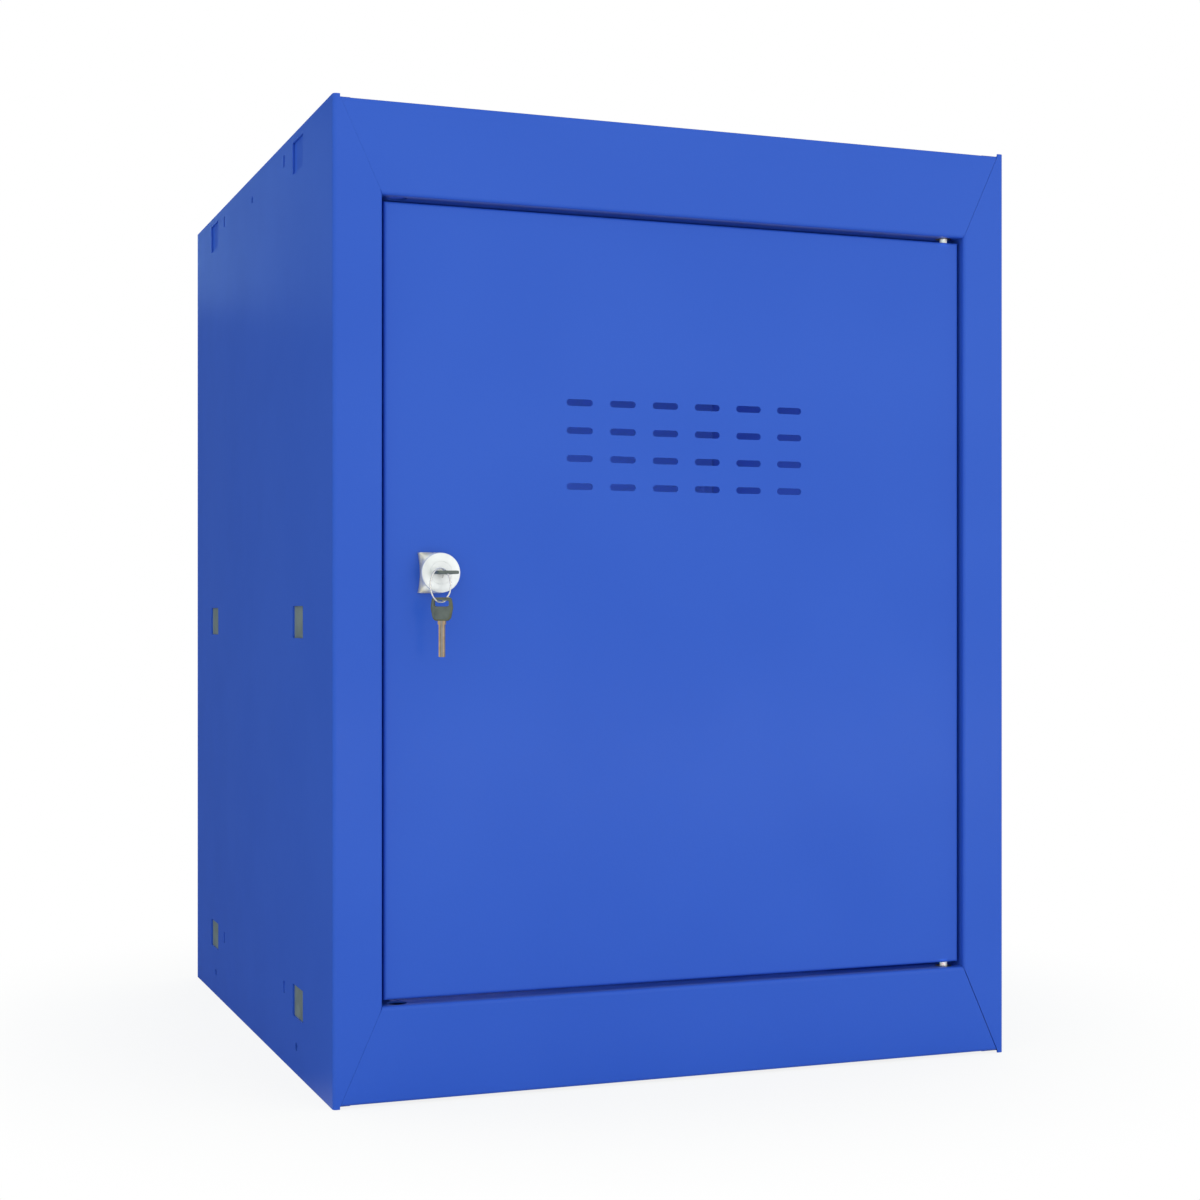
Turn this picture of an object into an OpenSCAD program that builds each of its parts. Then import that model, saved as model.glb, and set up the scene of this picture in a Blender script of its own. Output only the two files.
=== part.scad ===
// Cube locker: a folded steel cabinet with a framed front, one lift-off door and a cam lock
// X runs across, Y runs from the door (minus) to the back (plus), Z runs up from the base

/* [Cabinet] */
// Overall width across the side panels
width = 380; // [320:10:500]
// Overall depth from the front face to the rivet heads on the back
depth = 400; // [320:10:600]
// Overall height of the side panels
height = 500; // [440:10:700]
// Thickness of the cabinet sheet
sheet = 1; // [0.8:0.1:1.2]
// Outside radius of the sheet bends
bend_r = 1.8; // [1.5:0.1:2.5]
// How far the roof and the front rails sit inside the ends of the side panels
rail_inset = 1.3; // [1.25:0.05:2.5]
// Clearance between sheets that stand side by side
sheet_gap = 0.1; // [0.05:0.05:0.3]
// Width of the flanges on the ends of the side panels
end_flange_w = 10; // [6:0.5:12]
// Distance of those flanges behind the front face
end_flange_setback = 6; // [4:0.5:10]
// Width of the side panels' flanges along the back
back_flange_w = 18; // [14:0.5:24]

/* [Front frame] */
// Width of the stiles beside the door
stile_w = 25; // [20:0.5:35]
// Height of the rail above the door
top_rail_h = 48; // [44:0.5:70]
// Height of the rail below the door
bottom_rail_h = 49; // [45:0.5:70]
// Depth of the frame's returns
frame_depth = 25; // [24:0.5:32]
// Width of the rebate lip that the door closes against
rebate_w = 10; // [8:0.5:14]
// Width of the stile that is left at the outer end of a corner seam
seam_end_w = 3.5; // [2.5:0.1:6]
// Width of the top rail's corner seam on the lock's side
top_lock_seam = 0.05; // [0.05:0.05:0.6]
// Width of the top rail's corner seam on the hinge's side
top_hinge_seam = 0.2; // [0.05:0.05:0.6]
// Width of the bottom rail's corner seam on the lock's side
low_lock_seam = 0.1; // [0.05:0.05:0.6]
// Width of the bottom rail's corner seam on the hinge's side
low_hinge_seam = 0.5; // [0.05:0.05:0.6]

/* [Roof and floor] */
// Height of the roof's flanges along the side panels
roof_flange_h = 25; // [24:0.5:32]
// Height of the floor's flanges along the side panels
floor_flange_h = 9.5; // [6:0.5:12]
// Height of the roof's and the floor's flanges along the back
rear_flange_h = 18; // [14:0.5:24]
// Depth of the flange under the bottom rail
rail_foot_w = 12; // [8:0.5:16]

/* [Hook slots] */
// Length of a hook slot along the depth
hook_slot_l = 25; // [18:0.5:30]
// Height of a hook slot
hook_slot_h = 17; // [12:0.5:18]
// Distance of the front hook slots behind the front face
hook_slot_front = 81.4; // [70:0.2:100]
// Distance from the front to the rear hook slots
hook_slot_pitch = 250; // [180:1:280]
// Distance of the top hook slots below the top of the side panel
hook_slot_drop = 13; // [12.5:0.1:14]
// Height of the middle hook slots above the base
hook_slot_mid_z = 239.7; // [200:0.1:300]
// Height of the bottom hook slots above the base
hook_slot_low_z = 38.2; // [36:0.1:39]
// Thickness of the plates that close the slots
slot_plate_t = 1.5; // [1:0.1:2]
// How far a slot plate reaches past its slot, along the depth
slot_plate_side = 10; // [6:0.5:14]
// How far a middle slot plate reaches past its slot, up and down
slot_plate_end = 7; // [4:0.5:10]
// Height of a bottom slot plate
low_plate_h = 22; // [19:0.5:22]

/* [Small holes] */
// Width of the small tab slots in the side panels
tab_slot_w = 3; // [2:0.1:4]
// Height of the small tab slots
tab_slot_h = 6.5; // [5:0.1:8]
// Distance of the front tab slots behind the front face
tab_slot_front = 116.4; // [112:0.2:125]
// Distance from the front to the rear tab slots
tab_slot_pitch = 181; // [150:1:190]
// Distance of the top tab slots below the top of the side panel
tab_slot_drop = 9.4; // [8:0.1:12]
// Height of the bottom tab slots above the base
tab_slot_low_z = 41; // [38:0.1:43]
// Diameter of the screw hole at the top of each side panel
top_hole_d = 4; // [3:0.1:5]
// Distance of that screw hole below the top of the side panel
top_hole_drop = 13.2; // [11:0.1:16]
// Distance of that screw hole behind the front face
top_hole_front = 206.4; // [200:0.2:212]
// Diameter of the joining holes low in the side panels
join_hole_d = 4.5; // [4:0.1:6]
// Height of the joining holes above the base
join_hole_z = 14.5; // [12:0.1:18]
// Distance of the front joining hole behind the front face
join_hole_front = 85; // [70:0.5:110]
// Distance between the two joining holes
join_hole_pitch = 242; // [180:1:260]

/* [Back rivets] */
// Diameter of the rivet shanks
rivet_d = 3.2; // [3:0.1:4]
// Diameter of the rivet heads
rivet_head_d = 6.5; // [6:0.1:8]
// Height of the rivet heads
rivet_head_h = 1.2; // [1:0.1:1.6]
// Rivets in each upright row
rivet_rows = 5; // [3:1:7]
// Rivets in the row along the top and along the bottom
rivet_cols = 3; // [2:1:5]
// Distance of the end rivets in the upright rows from the ends of the side panels
rivet_end = 75; // [60:1:90]
// Distance between the outer rivets in the top row
rivet_span = 220; // [160:1:240]

/* [Door] */
// Gap between the door and the stiles
door_side_gap = 1.6; // [1.4:0.1:2]
// Gap above and below the door
door_end_gap = 2.6; // [2.5:0.1:3.2]
// How far the door sits behind the front face
door_recess = 3.5; // [3:0.1:4.5]
// Depth of the door pan
door_depth = 18; // [16:0.1:18.4]
// Thickness of the door sheet
door_sheet = 1; // [0.8:0.1:1.2]
// Width of the lips inside the door pan's back edge
door_lip_w = 10; // [8:0.5:12]

/* [Vents] */
// Number of slots across
vent_cols = 6; // [4:2:6]
// Number of slots down
vent_rows = 4; // [3:1:6]
// Length of a slot
vent_l = 14.3; // [10:0.1:16]
// Height of a slot
vent_h = 3.5; // [3:0.1:5]
// Distance between slots across
vent_pitch_x = 23.9; // [22:0.1:24]
// Distance between slots down
vent_pitch_z = 14.4; // [12:0.1:18]
// Distance of the top row below the door's top edge
vent_drop = 96.6; // [60:0.2:120]

/* [Hinge] */
// Distance of the hinge axis from the door's hinge edge
hinge_edge = 6.4; // [6:0.1:6.6]
// Distance of the hinge axis behind the door's front face
hinge_back = 5; // [4.7:0.1:5.1]
// Diameter of the nylon pins
pin_d = 4; // [3.6:0.1:4.6]
// Step in radius from the pins to their bodies in the door's edge
pin_step = 0.5; // [0.3:0.05:0.6]
// Thickness of the pins' flanges
pin_flange_t = 1.5; // [1:0.1:2.5]
// How far the upper pin reaches into its bush
upper_pin_reach = 6; // [5:0.1:7]
// How far the lower pin reaches into its bush
lower_pin_reach = 2.2; // [2:0.1:2.3]
// Outside diameter of the bushes
bush_d = 9; // [8:0.1:10]
// Diameter of the bushes' flanges
bush_flange_d = 12; // [11:0.1:13]
// Thickness of the bushes' flanges
bush_flange_t = 1.2; // [1:0.1:2]
// Diameter of the open holes on the lock's side, where the hinge would go on a left-hand door
spare_hole_d = 10; // [8:0.1:10]
// Distance of those holes from the stile
spare_hole_side = 9.4; // [7:0.1:11]
// Radial clearance between a pin and its bush
run_clear = 0.05; // [0.02:0.01:0.1]
// Radial clearance of fixed round pieces in their holes
fit_clear = 0.05; // [0.02:0.01:0.1]

/* [Buffers] */
// Diameter of the rubber buffers' heads
buffer_d = 8.5; // [7:0.1:9]
// Diameter of their stems
buffer_stem_d = 4; // [3:0.1:5]
// Distance of each buffer from the top or the bottom of the door opening
buffer_end = 70; // [50:1:100]
// Gap that is left between a buffer and the closed door
buffer_gap = 0.3; // [0.2:0.05:0.5]

/* [Lock] */
// Distance of the lock's axis from the door's lock edge
lock_edge = 27.5; // [26:0.1:34]
// Height of the lock's axis above the base
lock_z = 264.5; // [220:0.5:300]
// How far the lock's face stands out from the door
lock_proud = 7; // [6:0.1:9]
// Half the width of the lock's square side
lock_half_w = 10.2; // [10.1:0.1:12]
// Radius of the lock's round face
lock_face_r = 10; // [9.4:0.1:10.1]
// Thickness of the rim of the round face
lock_rim_t = 1.6; // [1.2:0.1:2]
// Height of the upright wall round the lock's foot
lock_base_t = 2.6; // [2:0.1:3]
// How deep the finger scoop cuts into the square side
scoop_depth = 1.4; // [0.8:0.1:2]
// Radius of the finger scoop
scoop_r = 37; // [30:1:50]
// Diameter of the lock's barrel
barrel_d = 16; // [15:0.1:17]
// Diameter of the lock's turning plug
plug_d = 11.4; // [10.5:0.1:12]
// Diameter of the plug's neck at the barrel's closed end
plug_neck_d = 9.4; // [9.1:0.1:10]
// Diameter of the small round recess below the keyway
key_notch_d = 2.6; // [2:0.1:3]
// Depth of that recess
key_notch_deep = 0.8; // [0.5:0.1:1.2]
// Thickness of the barrel's closed end
barrel_end_t = 2; // [1.5:0.1:3]
// Width across the flats of the lock's nut
nut_flats = 21; // [19:0.1:22]
// Thickness of the lock's nut
nut_t = 4; // [3:0.1:5]
// Side of the square that drives the cam
cam_square = 6; // [5.5:0.1:6.3]
// Gap between the cam and the back of the rebate lip
cam_gap = 1; // [0.8:0.1:2]
// Thickness of the cam
cam_t = 2; // [1.5:0.1:3]
// Width of the cam
cam_w = 15; // [13:0.5:18]
// Reach of the cam from the lock's axis
cam_reach = 38; // [35:0.5:42]
// Diameter of the cam screw's thread
screw_d = 4; // [3:0.1:4.2]
// Length of the cam screw's thread inside the plug
screw_grip = 4; // [3:0.1:5]
// Diameter of the cam screw's head
screw_head_d = 8; // [7:0.1:9]
// Height of the cam screw's head
screw_head_h = 2.4; // [2:0.1:3]
// Diameter of the washer under the screw's head
washer_d = 10; // [9.5:0.1:12]
// Thickness of the washer
washer_t = 0.8; // [0.5:0.1:1]

/* [Keys] */
// Width of a key's bow
bow_w = 12.2; // [12:0.1:12.8]
// Length of a key's bow
bow_l = 11.6; // [11.2:0.1:13]
// Thickness of a key's bow
bow_t = 1.6; // [1.5:0.05:1.7]
// Width of the slot in a key's bow
bow_slot_w = 8.2; // [8:0.1:8.4]
// Length of the slot in a key's bow
bow_slot_l = 2.8; // [2.8:0.05:2.9]
// Width of the web outside that slot
bow_web = 1.6; // [1.55:0.05:1.7]
// Width of a key's blade
blade_w = 3.2; // [2.8:0.1:3.4]
// Length of a key's blade
blade_l = 16; // [12:0.1:16]
// Thickness of a key's blade
blade_t = 1; // [0.9:0.05:1.1]
// Width of a key's collar
collar_w = 4.2; // [3.8:0.1:4.6]
// Length of a key's collar
collar_l = 1.8; // [1.4:0.1:2.4]
// Length of the tang inside a key's bow
tang_l = 4.5; // [3:0.1:5]
// Clearance around a blade in the keyway
key_clear = 0.1; // [0.05:0.05:0.15]
// Clearance around a tang in its bow
tang_clear = 0.05; // [0.02:0.01:0.08]
// Gap between the collar and the lock's face
collar_gap = 0.2; // [0.1:0.05:0.4]

/* [Key ring] */
// Radius of the ring to the middle of its wire
ring_r = 8.3; // [8.2:0.05:8.4]
// Diameter of the ring's wire
ring_wire_d = 0.8; // [0.7:0.05:0.9]
// Angle of the ring's plane away from the door's face
ring_angle = 37; // [36:1:37]
// Distance of the ring's middle to the left of the lock's axis
ring_side = 4.2; // [4:0.05:4.4]
// Distance of the ring's middle behind the bow's outer end
ring_inset = 0.25; // [0.15:0.05:0.3]
// Gap between the ring and the web that it hangs on
ring_web_gap = 0.25; // [0.2:0.05:0.3]

// Distance of the spare key from the ring's lowest point, along the wire
spare_side = 1.1; // [0.9:0.1:1.2]
// Angle by which the spare key is turned out of square with the ring
spare_turn = 7; // [5:1:8]

/* [Hidden] */
$fn = 48;
// Colours
blue = "#3A5FC7";
zinc = "#A2A8AA";
steel = "#C9CCCE";
white = "#EFEDE6";
black = "#2A2B2D";
grey = "#53574F";
// Small overlap that makes cuts and unions run past a face
eps = 0.01;
cut = 1;
// Room that is left open at the corners where flanges meet
corner_relief = 1;
flange_relief = 5;
// Room beside the slot plates in the notches of the floor's flanges
plate_gap = 0.5;
// Planes of the cabinet
half_w = width / 2;
front_y = -depth / 2;
back_y = depth / 2 - rivet_head_h;
case_d = back_y - front_y;
inner_half_w = half_w - sheet - sheet_gap;
opening_half_w = half_w - stile_w;
opening_top = height - top_rail_h;
opening_low = bottom_rail_h;
roof_z = height - rail_inset;
frame_back_y = front_y + frame_depth;
flange_start_y = frame_back_y + flange_relief;
lip_inner_half_w = opening_half_w - rebate_w;
// Layers of sheet at the back, from the outside in
back_panel_y = back_y - sheet;
rear_flange_y = back_panel_y - sheet;
// Door
door_half_w = opening_half_w - door_side_gap;
door_top = opening_top - door_end_gap;
door_low = opening_low + door_end_gap;
door_h = door_top - door_low;
door_y = front_y + door_recess;
door_back_y = door_y + door_depth;
door_bend_r = door_sheet + 0.5;
door_pocket_r = 0.5;
vent_top_z = door_top - vent_drop;
// Hinge axis
hinge_x = door_half_w - hinge_edge;
hinge_y = door_y + hinge_back;
pin_body_d = pin_d + 2 * pin_step;
pin_flange_d = 2 * (hinge_back - door_sheet - door_pocket_r - fit_clear);
bush_wall_l = upper_pin_reach + 1;
lower_bush_floor = 1.6;
// Buffers
buffer_x = -(opening_half_w - rebate_w / 2);
buffer_t = frame_depth - sheet - door_recess - door_depth - buffer_gap;
buffer_barb_l = 2;
buffer_barb_d = buffer_stem_d + 1;
// Lock
lock_x = -door_half_w + lock_edge;
barrel_l = frame_depth + cam_gap - door_recess;
barrel_hole_d = barrel_d + 2 * fit_clear;
cam_face_gap = 0.1;
cam_back = barrel_l + cam_face_gap + cam_t;
tail_l = cam_face_gap + cam_t - 0.2;
screw_hole_l = screw_grip + 1;
key_insert = blade_l + 0.5;
// Keys and ring
key_origin = lock_proud + collar_gap;
bow_end = key_origin + collar_l + bow_l;
ring_wire_r = ring_wire_d / 2;
ring_x = lock_x - ring_side;
ring_y = door_y - bow_end + ring_inset;
web_run = (bow_web - ring_inset) / sin(ring_angle);
ring_rise = sqrt(ring_r * ring_r - web_run * web_run);
ring_z = lock_z + bow_t / 2 + ring_web_gap + ring_wire_r - ring_rise;
ring_low_z = ring_z - ring_r;
spare_web_gap = 0.15;
wire_rise = ring_r - sqrt(ring_r * ring_r - pow(spare_side + bow_t / 2, 2));
spare_x = ring_x + spare_side * cos(ring_angle);
spare_y = ring_y + spare_side * sin(ring_angle);
spare_z = ring_low_z + ring_wire_r + wire_rise + spare_web_gap - (collar_l + bow_l - bow_web);
// Rivets
rivet_x = half_w - back_flange_w / 2;
rivet_top_z = roof_z - (rear_flange_h + bend_r) / 2;
rivet_low_z = opening_low - (rear_flange_h + bend_r) / 2;
rivet_bulb_d = rivet_d + 1.6;
rivet_bulb_l = 1.6;
// Half the width between the stiles' ends at the corner seams
seam_half_w = half_w - seam_end_w;

// Length of the plates behind the hook slots
slot_plate_l = hook_slot_l + 2 * slot_plate_side;

// Quarter ring of sheet about c, in the quadrant that q points to
module bend(c, q, r = bend_r, t = sheet) {
  translate(c)
    intersection() {
      difference() {
        circle(r = r);
        circle(r = r - t);
      }
      translate([q[0] < 0 ? -r : 0, q[1] < 0 ? -r : 0])
        square(r);
    }
}

// Flat stretch of sheet between two corners
module strip(a, b) {
  translate([min(a[0], b[0]), min(a[1], b[1])])
    square([abs(b[0] - a[0]), abs(b[1] - a[1])]);
}

// Rectangle with four round corners
module round_rect(a, b, r) {
  strip([a[0] + r, a[1]], [b[0] - r, b[1]]);
  strip([a[0], a[1] + r], [b[0], b[1] - r]);
  for (x = [a[0] + r, b[0] - r])
    for (y = [a[1] + r, b[1] - r])
      translate([x, y])
        circle(r = r);
}

// Extrudes a profile drawn in Y and Z from x = a to x = b
module across(a, b) {
  translate([a, 0, 0])
    rotate([90, 0, 90])
      linear_extrude(b - a)
        children();
}

// Extrudes a profile drawn in X and Z from y = a to y = b
module along(a, b) {
  translate([0, b, 0])
    rotate([90, 0, 0])
      linear_extrude(b - a)
        children();
}

// Round rod along X, Y or Z
module rod_x(p, d, l) {
  translate(p)
    rotate([0, 90, 0])
      cylinder(d = d, h = l);
}

module rod_y(p, d, l) {
  translate(p)
    rotate([-90, 0, 0])
      cylinder(d = d, h = l);
}

module rod_z(p, d, l) {
  translate(p)
    cylinder(d = d, h = l);
}

// Places of the hook slots, the tab slots and the joining holes along Y, and heights of the hook slots
function hook_ys() = [front_y + hook_slot_front, front_y + hook_slot_front + hook_slot_pitch];
function hook_zs() = [height - hook_slot_drop, hook_slot_mid_z, hook_slot_low_z];
function tab_ys() = [front_y + tab_slot_front, front_y + tab_slot_front + tab_slot_pitch];
function join_ys() = [front_y + join_hole_front, front_y + join_hole_front + join_hole_pitch];

// Section of a side panel: wall, front edge, stile face and back flange
module side_section() {
  strip([-half_w, front_y + bend_r], [-half_w + sheet, back_y - bend_r]);
  bend([-half_w + bend_r, front_y + bend_r], [-1, -1]);
  strip([-half_w + bend_r, front_y], [-opening_half_w - bend_r, front_y + sheet]);
  bend([-half_w + bend_r, back_y - bend_r], [-1, 1]);
  strip([-half_w + bend_r, back_y - sheet], [-half_w + back_flange_w, back_y]);
}

// Section of the stile's return and rebate lip beside the door
module stile_return_section() {
  turn_x = -opening_half_w - sheet + bend_r;
  bend([-opening_half_w - bend_r, front_y + bend_r], [1, -1]);
  strip([-opening_half_w - sheet, front_y + bend_r], [-opening_half_w, frame_back_y - bend_r]);
  bend([turn_x, frame_back_y - bend_r], [-1, 1]);
  strip([turn_x, frame_back_y - sheet], [-lip_inner_half_w, frame_back_y]);
}

// Outline in X and Z of what a corner seam takes from a stile's face
module stile_seam(inner_z, outer_z, end_z) {
  polygon([
    [-opening_half_w, inner_z],
    [-half_w + seam_end_w, outer_z],
    [-half_w + seam_end_w, end_z],
    [-opening_half_w + cut, end_z],
    [-opening_half_w + cut, inner_z]
  ]);
}

// The stile's inner bend, without its last edge, where it runs on beside the corner seams
module stile_bend_section() {
  intersection() {
    bend([-opening_half_w - bend_r, front_y + bend_r], [1, -1]);
    strip([-half_w, front_y], [-opening_half_w, front_y + bend_r - sheet_gap]);
  }
}

module side_panel(buffer_holes) {
  seam_rise = 3 * bend_r;
  color(blue)
    difference() {
      union() {
        linear_extrude(height)
          side_section();
        translate([0, 0, opening_low])
          linear_extrude(opening_top - opening_low)
            stile_return_section();
        translate([0, 0, opening_low - seam_rise])
          linear_extrude(opening_top - opening_low + 2 * seam_rise)
            stile_bend_section();
        for (z = [0, height - sheet])
          translate([-half_w + sheet - eps, front_y + end_flange_setback, z])
            cube([end_flange_w - sheet + eps, case_d - end_flange_setback - sheet + eps, sheet]);
      }
      along(front_y - cut, front_y + bend_r) {
        stile_seam(opening_top, roof_z, height + cut);
        stile_seam(opening_low, rail_inset, -cut);
      }
      side_holes();
      if (buffer_holes)
        for (z = buffer_zs())
          rod_y([buffer_x, frame_back_y - sheet - cut, z], buffer_stem_d + 2 * fit_clear, sheet + 2 * cut);
      for (z = rivet_zs())
        rod_y([-rivet_x, back_y - sheet - cut, z], rivet_d + 2 * fit_clear, sheet + 2 * cut);
    }
}

// Slots and holes in a side panel's wall
module side_holes() {
  wall_cut = sheet + 2 * cut;
  for (y = hook_ys())
    for (z = hook_zs())
      translate([-half_w - cut, y - hook_slot_l / 2, z - hook_slot_h / 2])
        cube([wall_cut, hook_slot_l, hook_slot_h]);
  for (y = tab_ys())
    for (z = [height - tab_slot_drop, tab_slot_low_z])
      translate([-half_w - cut, y - tab_slot_w / 2, z - tab_slot_h / 2])
        cube([wall_cut, tab_slot_w, tab_slot_h]);
  rod_x([-half_w - cut, front_y + top_hole_front, height - top_hole_drop], top_hole_d, wall_cut);
  for (y = join_ys())
    rod_x([-half_w - cut, y, join_hole_z], join_hole_d, wall_cut);
}

module left_panel() {
  side_panel(true);
}

// The hinge side needs no buffers, so its rebate lip stays whole
module right_panel() {
  mirror([1, 0, 0])
    side_panel(false);
}

// Outline in X and Z of what the corner seams leave of a rail's face
module rail_seam(inner_z, outer_z, over_z, lock_seam, hinge_seam) {
  polygon([
    [lock_seam - opening_half_w, inner_z],
    [lock_seam - seam_half_w, outer_z],
    [lock_seam - seam_half_w, over_z],
    [seam_half_w - hinge_seam, over_z],
    [seam_half_w - hinge_seam, outer_z],
    [opening_half_w - hinge_seam, inner_z]
  ]);
}

// Section of the top rail's face with its bends
module top_rail_section() {
  bend([front_y + bend_r, roof_z - bend_r], [-1, 1]);
  strip([front_y, opening_top + bend_r], [front_y + sheet, roof_z - bend_r]);
  bend([front_y + bend_r, opening_top + bend_r], [-1, -1]);
}

// Section of the ledge behind the top rail
module top_ledge_section() {
  strip([front_y + bend_r - eps, opening_top], [frame_back_y - bend_r, opening_top + sheet]);
}

// Section of the stop lip that hangs from the ledge's back edge
module top_lip_section() {
  bend([frame_back_y - bend_r, opening_top + sheet - bend_r], [1, 1]);
  strip([frame_back_y - sheet, opening_top - rebate_w],
        [frame_back_y, opening_top + sheet - bend_r]);
}

// Section in X and Z of the roof or the floor, with flanges that hang along the side panels
module deck_section(top_z, flange_h) {
  turn_x = inner_half_w - bend_r;
  strip([-turn_x, top_z - sheet], [turn_x, top_z]);
  for (s = [-1, 1]) {
    bend([s * turn_x, top_z - bend_r], [s, 1]);
    strip([s * inner_half_w, top_z - flange_h], [s * (inner_half_w - sheet), top_z - bend_r]);
  }
}

// Section in Y and Z of its back edge, with a flange that hangs along the back panel
module deck_back_section(top_z) {
  turn_y = rear_flange_y - bend_r;
  strip([turn_y - corner_relief - eps, top_z - sheet], [turn_y, top_z]);
  bend([turn_y, top_z - bend_r], [1, 1]);
  strip([rear_flange_y - sheet, top_z - rear_flange_h], [rear_flange_y, top_z - bend_r]);
}

// Roof or floor behind the front frame, with open corners between its flanges
module deck(top_z, flange_h) {
  back_half_w = inner_half_w - bend_r - corner_relief;
  across(-inner_half_w, inner_half_w)
    strip([front_y + bend_r - eps, top_z - sheet], [flange_start_y + eps, top_z]);
  along(flange_start_y, rear_flange_y - bend_r - corner_relief)
    deck_section(top_z, flange_h);
  across(-back_half_w, back_half_w)
    deck_back_section(top_z);
}

// Hole for the hinge bush and the open hole opposite, through sheet that lies on z
module hinge_holes(z) {
  rod_z([hinge_x, hinge_y, z - cut], bush_d + 2 * fit_clear, sheet + 2 * cut);
  rod_z([spare_hole_side - opening_half_w, hinge_y, z - cut], spare_hole_d, sheet + 2 * cut);
}

module top_panel() {
  color(blue)
    difference() {
      union() {
        intersection() {
          across(-half_w, half_w)
            top_rail_section();
          along(front_y - cut, front_y + bend_r)
            rail_seam(opening_top, roof_z, roof_z + eps, top_lock_seam, top_hinge_seam);
        }
        across(-opening_half_w - sheet, opening_half_w + sheet)
          top_ledge_section();
        across(-lip_inner_half_w + sheet_gap, lip_inner_half_w - sheet_gap)
          top_lip_section();
        deck(roof_z, roof_flange_h);
      }
      hinge_holes(opening_top);
      for (s = [-1, 1])
        rod_x([s * inner_half_w - sheet - cut, front_y + top_hole_front, height - top_hole_drop],
              top_hole_d, 2 * (sheet + cut));
      for (x = rivet_xs())
        rod_y([x, rear_flange_y - sheet - cut, rivet_top_z], rivet_d + 2 * fit_clear, sheet + 2 * cut);
    }
}

// Section of the bottom rail's face with its bends
module bottom_rail_section() {
  bend([front_y + bend_r, opening_low - bend_r], [-1, 1]);
  strip([front_y, rail_inset + bend_r], [front_y + sheet, opening_low - bend_r]);
  bend([front_y + bend_r, rail_inset + bend_r], [-1, -1]);
}

module bottom_panel() {
  plate_room = slot_plate_l + 2 * plate_gap;
  color(blue)
    difference() {
      union() {
        intersection() {
          across(-half_w, half_w)
            bottom_rail_section();
          along(front_y - cut, front_y + bend_r)
            rail_seam(opening_low, rail_inset, rail_inset - eps, low_lock_seam, low_hinge_seam);
        }
        across(low_lock_seam - seam_half_w, seam_half_w - low_hinge_seam)
          strip([front_y + bend_r - eps, rail_inset], [front_y + rail_foot_w, rail_inset + sheet]);
        deck(opening_low, floor_flange_h);
      }
      hinge_holes(opening_low - sheet);
      for (s = [-1, 1])
        for (y = hook_ys())
          translate([s * inner_half_w - bend_r, y - plate_room / 2, opening_low - floor_flange_h - cut])
            cube([2 * bend_r, plate_room, floor_flange_h + 2 * cut]);
      for (x = rivet_xs())
        rod_y([x, rear_flange_y - sheet - cut, rivet_low_z], rivet_d + 2 * fit_clear, sheet + 2 * cut);
    }
}

// Places of the rivets in the back
function rivet_zs() =
  [for (i = [0 : rivet_rows - 1]) rivet_end + i * (height - 2 * rivet_end) / (rivet_rows - 1)];
function rivet_xs() =
  [for (i = [0 : rivet_cols - 1]) -rivet_span / 2 + i * rivet_span / (rivet_cols - 1)];

module back_panel() {
  end_z = rail_inset + sheet_gap;
  side_x = half_w - bend_r - sheet_gap;
  color(blue)
    difference() {
      translate([-side_x, back_panel_y - sheet, end_z])
        cube([2 * side_x, sheet, height - 2 * end_z]);
      for (s = [-1, 1])
        for (z = rivet_zs())
          rod_y([s * rivet_x, back_panel_y - sheet - cut, z], rivet_d + 2 * fit_clear, sheet + 2 * cut);
      for (x = rivet_xs())
        for (z = [rivet_top_z, rivet_low_z])
          rod_y([x, back_panel_y - sheet - cut, z], rivet_d + 2 * fit_clear, sheet + 2 * cut);
    }
}

// Blind rivet whose head sits on the plane y = head_y and whose bulb grips at y = bulb_y
module rivet(x, z, head_y, bulb_y) {
  cap_r = (rivet_head_d * rivet_head_d / 4 + rivet_head_h * rivet_head_h) / (2 * rivet_head_h);
  translate([x, head_y, z])
    rotate([-90, 0, 0])
      intersection() {
        translate([0, 0, rivet_head_h - cap_r])
          sphere(r = cap_r);
        cylinder(d = rivet_head_d, h = rivet_head_h + cut);
      }
  rod_y([x, bulb_y - eps, z], rivet_d, head_y - bulb_y + 2 * eps);
  rod_y([x, bulb_y - rivet_bulb_l, z], rivet_bulb_d, rivet_bulb_l);
}

module back_rivets() {
  color(blue) {
    for (s = [-1, 1])
      for (z = rivet_zs())
        rivet(s * rivet_x, z, back_y, back_panel_y - sheet);
    for (x = rivet_xs())
      for (z = [rivet_top_z, rivet_low_z])
        rivet(x, z, back_panel_y, rear_flange_y - sheet);
  }
}

// Plate that closes a hook slot from inside the left side panel
module slot_plate(y, z, h) {
  color(zinc)
    translate([-half_w + sheet, y - slot_plate_l / 2, z - h / 2])
      cube([slot_plate_t, slot_plate_l, h]);
}

module middle_plate(i) {
  slot_plate(hook_ys()[i], hook_slot_mid_z, hook_slot_h + 2 * slot_plate_end);
}

module base_plate(i) {
  slot_plate(hook_ys()[i], opening_low - sheet - sheet_gap - low_plate_h / 2, low_plate_h);
}

// Heights of the two rubber buffers
function buffer_zs() = [opening_low + buffer_end, opening_top - buffer_end];

module door_buffers() {
  lip_y = frame_back_y - sheet;
  color(black)
    for (z = buffer_zs()) {
      rod_y([buffer_x, lip_y - buffer_t, z], buffer_d, buffer_t);
      rod_y([buffer_x, lip_y - eps, z], buffer_stem_d, sheet + 2 * eps);
      rod_y([buffer_x, frame_back_y, z], buffer_barb_d, buffer_barb_l);
    }
}

// Bush with its mouth at z = 0 and its flange on the far side of the ledge
module hinge_bush(bore_l, wall_l) {
  difference() {
    union() {
      cylinder(d = bush_d, h = wall_l);
      translate([0, 0, sheet])
        cylinder(d = bush_flange_d, h = bush_flange_t);
    }
    translate([0, 0, -cut])
      cylinder(d = pin_d + 2 * run_clear, h = bore_l + cut);
  }
}

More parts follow.
